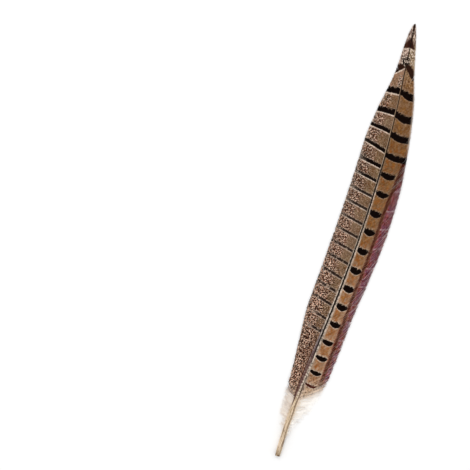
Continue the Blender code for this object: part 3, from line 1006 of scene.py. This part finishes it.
def tip_marks(base, depth, reach, own, steep, outward, patch):
    """The grey tip with its dark streak and flecks, the brown patch below it, and the flecks between the
    patch and the chevron. The patch's upper edge is soft and drops steeply outwards, its lower edge is sharp
    and nearly square to the shaft. The chevron's flecks die away outwards."""
    fleck = noise(depth * 0.62 + own * 0.4, reach, 6.0, 1.0)
    shake = own - 0.5 + (fleck - 0.5) * 3.0
    tip = depth.fade(15, 10)
    upper = (depth - reach * steep + shake * 0.8).fade(8.6, 11.6)
    lower = depth - reach * 0.45 + shake * 0.25
    widening = depth.math("SUBTRACT", 31.0).math("MAXIMUM", 0.0) * 1.5
    above = depth.band(26, 36, 1.2) * (reach + fleck * 2.0 + widening - 1.0).fade(outward + 1.2, outward)
    fine = noise(depth * 0.55, reach * 0.9 + own * 0.3, 14.0, 1.0)
    return paint(
        base,
        (UMBER, reach.fade(1.3, 0.3) * depth.fade(16, 4) * 0.9),
        (CREAM, fleck.fade(0.52, 0.58) * tip * 0.8),
        (BARK, fleck.fade(0.47, 0.41) * tip * 0.85),
        (patch, upper * lower.fade(18.9, 18.2)),
        (CREAM, lower.band(18.9, 19.9, 0.25) * 0.75),
        (CREAM, fleck.fade(0.52, 0.58) * depth.band(20, 32, 1) * 0.85),
        (BARK, fleck.fade(0.46, 0.41) * depth.band(20, 28, 1) * 0.7),
        (INK, fine.fade(0.54, 0.49) * above),
        (CREAM, fine.fade(0.54, 0.59) * above * 0.9),
    )


def right_vane_finish(bars, threads):
    """Ochre squares between near-black bars, a maroon stripe beside them and a mauve fringe outside it."""
    made, tree, inputs = surface_of("right vane")
    depth, reach, out = parts_of(tree, "spot")
    root, along, own = parts_of(tree, "barb")
    edge, past_end, beside = parts_of(tree, "edge")
    ragged = 1.25 - depth.fade(110, 130) * 0.35 - depth.fade(225, 250) * 0.35
    bar, beyond, offset = use(bars, *parts_of(tree, "bars"), own, root, ragged)
    cloud = noise(depth * 0.2, reach * 0.28, 1.0, 2.0, 0.55)
    patch = noise(depth * 0.34, reach * 0.42, 12.0, 2.0, 0.6)
    mottle = noise(depth * 0.75 + own * 0.4, reach * 0.75, 15.0, 1.0)

    # The squares, whose hearts are richer than their brims, and their mottling and pale rims
    before = offset.fade(0.2, -0.8) * beyond.fade(4.0, 0.6) * 0.75
    inside = beyond.fade(0.1, 1.4) * beside.fade(0.5, 1.8) * past_end.fade(0.6, -1.2)
    inside = inside * (1.0 - before * patch.fade(0.62, 0.42)) * (1.0 - past_end.fade(-5.5, -0.5) * 0.4)
    rough = depth.band(12, 50, 3) * 0.6 + depth.fade(278, 290) * 0.75 + 0.22
    rim = beyond.fade(0.85, 0.25) * depth.fade(298, 285)
    base = paint(
        ramp(depth, RIGHT_BRIM),
        (ramp(depth, RIGHT_HEART), inside * (patch.fade(0.36, 0.52) * 0.6 + 0.4)),
        (RUSSET, patch.fade(0.5, 0.62) * inside * depth.band(95, 290, 12) * 0.55),
        (KHAKI, cloud.fade(0.46, 0.36) * inside * depth.fade(40, 60) * 0.6),
        (GOLD, cloud.fade(0.54, 0.62) * inside * depth.band(40, 290, 12) * 0.5),
        (GOLD, depth.band(37, 50, 2) * reach.fade(1.5, 4.0) * mottle.fade(0.4, 0.6) * 0.55),
        (UMBER, mottle.fade(0.46, 0.38) * rough * depth.fade(312, 300)),
        (PALE_BRIM, mottle.fade(0.55, 0.62) * rough * 0.7),
        (CREAM, rim * (0.16 + depth.fade(140, 190) * 0.26) * mottle.fade(0.38, 0.54)),
    )
    base = fringe_marks(base, depth, past_end, edge, root, along, own, offset, cloud)

    # The bars, the marks of the tip, the lines along the margin and the shaft, of which the pale one beside
    # the shaft is a painted highlight of its glossy edge, and the white foot
    ink = paint(INK, (MAROON, depth.fade(283, 290)), (BARK, depth.fade(*CHEVRON) * 0.5))
    dark = bar * (past_end + (own - 0.5) * 1.6 + (cloud - 0.5) * 3.0).fade(0.5, -0.3)
    base = tip_marks(mix(base, ink, dark), depth, reach, own, 2.5, 1.8, COFFEE)
    beads = noise(depth * 0.8, 0.5, 3.0, 1.0).fade(0.4, 0.56) * 0.5 + 0.5
    white = (depth + reach + (own - 0.5) * 6.0 + (cloud - 0.5) * 12.0).fade(298, 312)
    base = paint(
        base,
        (CREAM, out.fade(0.92, 0.98) * depth.band(20, 96, 6) * 0.4),
        (SEPIA, beside.fade(0.45, 0.15) * depth.band(46, 124, 8) * 0.8),
        # Painted highlight: a pale beaded line beside the shaft for its glossy edge
        (CREAM, beside.fade(0.75, 0.45) * depth.band(126, 256, 10) * beads * 0.75),
        (mix(OAT, WHITE_DOWN, (depth + reach).fade(300, 316)), white),
    )
    finish_vane(inputs, base, use(threads, along, root, own, 0.42), dark, white)
    return made


def fringe_marks(base, depth, past_end, edge, root, along, own, offset, cloud):
    """The stripe and the loose fringe: streaks along the barbs in mauve, rose and plum with pale and dark
    flecks, a thin pale trace of each bar, and maroon out to the margin where the fringe begins."""
    fringe_on = depth.fade(*FRINGE_STARTS) * depth.fade(*FRINGE_STOPS)
    drift = (cloud - 0.5) * 2.0 + (own - 0.5) * 0.9
    streak = noise(along * 0.3, root * 0.8, own * 0.8, 2.0, 0.6)
    fleck = noise(along * 0.55 + own * 0.5, root * 0.6, 9.0, 1.0, 0.6)
    glow = noise(along * 0.45, root * 0.7 + own, 19.0, 1.0, 0.6)
    low = depth.fade(150, 215)
    trace = (offset + 2.6).distance().fade(0.55, 0.25) * past_end.fade(0.6, 2.0) * depth.fade(120, 132)
    fringe = paint(
        MAUVE,
        (ROSE, streak.fade(0.5, 0.6) * 0.85),
        (PLUM, streak.fade(0.49, 0.38)),
        (LILAC, fleck.fade(0.58, 0.64) * (low * 0.3 + 0.35)),
        (CORAL, glow.fade(0.5, 0.58) * edge.fade(5.0, 1.5) * 0.6),
        (BLACK_PLUM, fleck.fade(0.45, 0.38) * (low * 0.4 + 0.5)),
        # Painted sheen: a purple sheen laid over the fringe in clouds
        (PAINTED_PURPLE_SHEEN, cloud.fade(0.44, 0.58) * depth.fade(118, 130) * 0.5),
        (mix(MAROON, CRIMSON, streak.fade(0.44, 0.56)), (edge * 4.0 + depth).fade(140, 122) * 0.85),
        (LILAC, trace * 0.45),
        (BRICK, depth.fade(195, 240) * cloud.fade(0.5, 0.4) * 0.35),
    )
    near = edge + drift * 0.8
    stripe = near.band(depth.fade(225, 245) * -0.6 - 1.5, 1.2, 0.6) * fringe_on
    lit = paint(
        ramp(depth, STRIPE_COLOURS),
        (KHAKI, fleck.fade(0.54, 0.62) * 0.5),
        (MAROON, (near + 0.25).distance().fade(1.6, 0.7) * 0.92),
    )
    outside = (edge + drift).fade(0.5, 1.7) * fringe_on
    return paint(base, (fringe, outside), (lit, stripe * (streak.fade(0.38, 0.56) * 0.3 + 0.7)))


def left_vane_finish(bars, threads, specks):
    """Drab brown between thin dark bars with pale rims, with dark and pale dots over the outer part."""
    made, tree, inputs = surface_of("left vane")
    depth, reach, out = parts_of(tree, "spot")
    root, along, own = parts_of(tree, "barb")
    count, spacing, half = parts_of(tree, "bars")
    beside = parts_of(tree, "edge")[2]
    ragged = half.fade(0.8, 2.4) * 0.75 + 0.5
    bar, beyond, offset = use(bars, count, spacing, half, own, root, ragged)
    dark_dots, pale_dots = use(specks, depth, reach, own, DOT_GRAIN)
    cloud = noise(depth * 0.18, reach * 0.24, 3.0)
    warm = noise(depth * 0.22, reach * 0.3, 23.0)
    beads = noise(depth * 0.5, reach * 0.9, 11.0, 1.0).fade(0.4, 0.56)

    # The ground and its dots, which cover the outer part, and more of the vane towards the foot
    outer = (out + (cloud - 0.5) * 0.5).fade(0.28, 0.62)
    inner = 1.0 - outer
    spread = depth.fade(180, 220) * 0.6 + depth.fade(235, 262) * 0.2
    amount = (outer * 0.92 + spread).math("MINIMUM", 1.0) * depth.fade(44, 56) * depth.fade(312, 292)
    amount = amount.math("MAXIMUM", depth.fade(38, 44) * depth.fade(308, 296) * 0.28)
    column = reach.band(0.4, 3.4, 0.6) * depth.band(41, 50, 1.5)
    margin = (out + (own - 0.5) * 0.06).fade(0.88, 0.97) * depth.fade(40, 60)
    base = paint(
        ramp(depth, LEFT_INNER),
        (ramp(depth, LEFT_OUTER), outer * depth.fade(40, 60)),
        (OCHRE, cloud.fade(0.5, 0.62) * depth.band(50, 300, 10) * inner * 0.45),
        (BRICK, warm.fade(0.5, 0.6) * outer * depth.fade(38, 48) * (0.45 - depth.fade(110, 140) * 0.25)),
        (OLIVE, warm.fade(0.46, 0.38) * depth.band(56, 210, 8) * inner * 0.5),
        (CHALK, pale_dots * amount * (0.65 + outer * 0.35)),
        (SPECK, dark_dots * amount),
        (BRICK, reach.band(0.8, 3.0, 1.0) * depth.band(40, 49, 2) * cloud.fade(0.42, 0.56) * 0.5),
        (SEPIA, dark_dots * column * 0.9),
        (CREAM, pale_dots * column * 0.7),
        (CREAM, margin * (0.5 - depth.fade(90, 130) * 0.38) * beads),
    )

    # The bars and their pale rims. Down the vane the bars fade at their outer ends
    losses = (
        out.fade(0.6, 1.0) * depth.fade(90, 125) * (0.15 + pale_dots * 0.6),
        cloud.fade(0.44, 0.36) * depth.fade(150, 190) * 0.6,
        depth.fade(120, 140) * 0.05,
        out.fade(0.45, 0.75) * depth.fade(222, 236) * 0.9,
    )
    dark = math.prod((1.0 - loss for loss in losses), start=bar)
    spare = depth.fade(110, 130) * 0.25 - depth.fade(85, 62) * 0.4
    below = (beyond + spare).fade(1.1, 0.65) * offset.math("GREATER_THAN", 0.0) * (beads * 0.5 + 0.5)
    above = beyond.fade(0.7, 0.3) * offset.fade(0.0, -0.5)
    rim = below * (0.4 + depth.fade(190, 130) * 0.5) * depth.fade(28, 38) + above * 0.2
    rim = rim * (1.0 - out.fade(0.7, 1.0) * depth.fade(140, 180)) * depth.fade(270, 250)
    ink = paint(INK, (SPECK, depth.fade(120, 160) * 0.35), (BARK, depth.fade(*CHEVRON) * 0.5))
    patch = mix(COFFEE, BARK, cloud.fade(0.5, 0.55))
    base = tip_marks(paint(base, (CREAM, rim), (ink, dark)), depth, reach, own, 1.45, 4.0, patch)

    # The lines along the shaft, a pale one that is a painted highlight of its glossy edge and a plum one
    # that is its painted shadow, and the downy foot
    pale = (depth + reach * 0.6 + (own - 0.5) * 4.0 + (cloud - 0.5) * 10.0).fade(304, 312)
    base = paint(
        base,
        # Painted highlight: a pale beaded line beside the shaft for its glossy edge
        (CREAM, beside.fade(0.45, 0.2) * depth.band(120, 236, 12) * beads * 0.4),
        # Painted shadow: the shaft's shadow on the vane beside it, in plum
        (PLUM, beside.fade(1.1, 0.3) * depth.band(262, 306, 6) * 0.85),
        (mix(OAT, GREY_DOWN, (depth + reach * 0.6).fade(306, 318)), pale),
    )
    finish_vane(inputs, base, use(threads, along, root, own, 0.5), dark, pale)
    return made


def finish_vane(inputs, base, thread, dark, downy):
    """What both vanes share: the barbs' own tones, a duller underside, satin gloss and the barbs' grain."""
    tone, grain = thread
    under = parts_of(base.tree, "side")[0].fade(0.52, 0.48) * (1.0 - downy) * 0.38
    values = {
        "Base Color": paint(shade(base, tone), (base, downy * 0.7), (UNDERSIDE, under)),
        # Painted glow: the downy foot gives off light of its own colour, standing for light that passes
        # through the down
        "Emission Color": shade(base, downy),
        "Emission Strength": DOWN_PAINTED_GLOW,
        "Roughness": grain * 0.24 + 0.5 - dark * 0.1,
        "Specular IOR Level": VANE_GLOSS,
        "Normal": raised(grain, VANE_GRAIN),
    }
    feed(inputs, values)


def shaft_finish(threads):
    """Beaded horn with a dark streak along it, which takes the whole shaft near the tip, and a grey one
    beside it where the vanes end. The quill is pale, with brown and pale fibres and a few dark specks."""
    made, tree, inputs = surface_of("quill horn")
    depth, across, up = parts_of(tree, "shaft")
    dark_from, dark_to, grey_shade_from = parts_of(tree, "streaks")
    hollow, grey_shade_to, _ = parts_of(tree, "hollow")
    tone, grain = use(threads, depth * 0.25, across * 2.2 + up * 0.5, 0.5, 0.42)
    shaken = across + (noise(depth * 0.2, across * 0.5, 2.0) - 0.5) * 0.35
    fibre = noise(depth * 0.09, across * 3.4, 6.0, 3.0, 0.6)
    bead = noise(depth * 0.85, across * 0.9, 9.0, 1.0)
    speck = noise(depth * 0.45, across * 2.0, 17.0, 1.0)
    beaded = depth.band(110, 306, 10)
    quill = depth.fade(292, 308)
    upper = up.fade(-0.45, -0.1)
    # The grey streak on the shaft's left flank, partly its own colour and partly painted shade
    grey = shaken.band(grey_shade_from, grey_shade_to, 0.2) * upper * 0.85
    dark = shaken.band(dark_from, dark_to, 0.1) * upper * (0.985 - depth.fade(290, 325) * 0.685)
    base = paint(
        ramp(depth, HORN_COLOURS),
        (CREAM, bead.fade(0.48, 0.58) * beaded * 0.75),
        (SEPIA, bead.fade(0.48, 0.38) * beaded * 0.55),
        (UMBER, fibre.fade(0.52, 0.38) * quill * 0.65),
        (CREAM, fibre.fade(0.52, 0.64) * quill * 0.7),
        (BARK, speck.fade(0.4, 0.3) * quill * 0.6),
        (mix(SLATE, PLUM, depth.fade(245, 275)), grey),
        (mix(INK, UMBER, depth.fade(270, 310)), dark),
        (UMBER, depth.fade(347.5, 350) * bead.fade(0.56, 0.5) * 0.6),
        (HORN_BELOW, up.fade(-0.35, -0.75) * 0.8),
        # Painted shade inside the bore, over the pith's own brown
        (PITH_AND_SHADE, hollow * 0.85),
    )
    values = {
        "Base Color": shade(base, tone),
        "Roughness": grain * 0.22 + 0.3,
        "Specular IOR Level": HORN_GLOSS,
        "Normal": raised(grain, HORN_GRAIN),
    }
    feed(inputs, values)
    return made


def down_finish(name, body_colour, threads):
    """Soft down, warmer at its roots, with smoky streaks in some of its barbs."""
    made, tree, inputs = surface_of(name)
    own, share, depth = parts_of(tree, "fluff")
    tone, grain = use(threads, share * 4.0, own * 20.0, own, 0.12)
    base = paint(
        WHEAT,
        (body_colour, share.fade(0.0, 0.4)),
        (SMOKE, own.fade(0.65, 0.95) * 0.7),
        (APRICOT, depth.fade(306, 292) * share.fade(0.6, 0.1) * 0.5),
    )
    values = {
        "Base Color": shade(base, tone),
        # Painted glow: the down gives off light of its own colour, standing for light that passes through it
        "Emission Color": base,
        "Emission Strength": DOWN_PAINTED_GLOW,
        "Roughness": grain * 0.2 + 0.7,
        "Specular IOR Level": DOWN_GLOSS,
        "Sheen Weight": DOWN_SHEEN,
    }
    feed(inputs, values)
    return made


# Floor, light and camera


def make_floor():
    bpy.ops.mesh.primitive_plane_add(size=FLOOR_SIZE, location=(0, 0, -FLOOR_DROP))
    floor = bpy.context.object
    floor.name = "floor"
    made, _, inputs = surface_of("plain floor")
    values = {"Base Color": FLOOR_COLOUR, "Roughness": FLOOR_ROUGHNESS, "Specular IOR Level": FLOOR_GLOSS}
    feed(inputs, values)
    floor.data.materials.append(made)


def make_light():
    """A white sky all round and one large soft lamp. Together they light a level sheet to its own colour."""
    scene = bpy.context.scene
    scene.view_settings.view_transform = "Standard"
    scene.world = bpy.data.worlds.new("studio")
    scene.world.use_nodes = True
    sky = scene.world.node_tree.nodes["Background"].inputs
    feed(sky, {"Color": WHITE, "Strength": SKY_STRENGTH})
    lamp = bpy.data.objects.new("lamp", bpy.data.lights.new("lamp", "AREA"))
    lamp.data.shape = "SQUARE"
    lamp.data.size = LAMP_SIZE
    lamp.data.energy = LAMP_POWER
    lamp.location = LAMP_AT
    lamp.rotation_mode = "QUATERNION"
    lamp.rotation_quaternion = mathutils.Vector(LAMP_AT).to_track_quat("Z", "Y")
    scene.collection.objects.link(lamp)


def make_camera():
    """Looks straight down on the middle of the picture. The line from the cut end to the tip lies along Y,
    so the camera is turned by that line's lean in the picture, and stands where the cut end falls on its
    pixel."""
    lean = math.atan2(TIP_PIXEL[0] - CUT_END_PIXEL[0], CUT_END_PIXEL[1] - TIP_PIXEL[1])
    middle = PICTURE_PIXELS / 2
    right, up = (middle - CUT_END_PIXEL[0]) * PIXEL, (CUT_END_PIXEL[1] - middle) * PIXEL
    x = FOOT_AT[0] + right * math.cos(lean) - up * math.sin(lean)
    y = FOOT_AT[1] + right * math.sin(lean) + up * math.cos(lean)
    camera = bpy.data.objects.new("camera", bpy.data.cameras.new("camera"))
    camera.location = (x, y, CAMERA_HEIGHT)
    camera.rotation_euler = (0.0, 0.0, lean)
    camera.data.sensor_width = SENSOR
    camera.data.lens = SENSOR * CAMERA_HEIGHT / (PICTURE_PIXELS * PIXEL)
    bpy.context.scene.collection.objects.link(camera)
    bpy.context.scene.camera = camera


def build():
    make_camera()
    make_light()
    make_floor()
    threads = group("strands", ("Along", "Across", "Own", "Strength"), ("Tone", "Grain"), strands)
    bar_inputs = ("Count", "Spacing", "Half", "Own", "Root", "Ragged")
    bars = group("barring", bar_inputs, ("Dark", "Beyond", "Offset"), barring)
    specks = group("speckling", ("Depth", "Reach", "Own", "Grain"), ("Dark", "Pale"), speckling)
    left = Vane(-1, LEFT_OUTLINE, LEFT_MARGIN_ANGLE, SEEDS["left"])
    right = Vane(1, RIGHT_OUTLINE, RIGHT_MARGIN_ANGLE, SEEDS["right"])
    make_shaft(shaft_finish(threads))
    make_vane("left_vane", left, left_vane_finish(bars, threads, specks))
    make_vane("right_vane", right, right_vane_finish(bars, threads))
    make_down("left_down", left, down_finish("grey down", GREY_DOWN, threads))
    make_down("right_down", right, down_finish("white down", WHITE_DOWN, threads))


build()
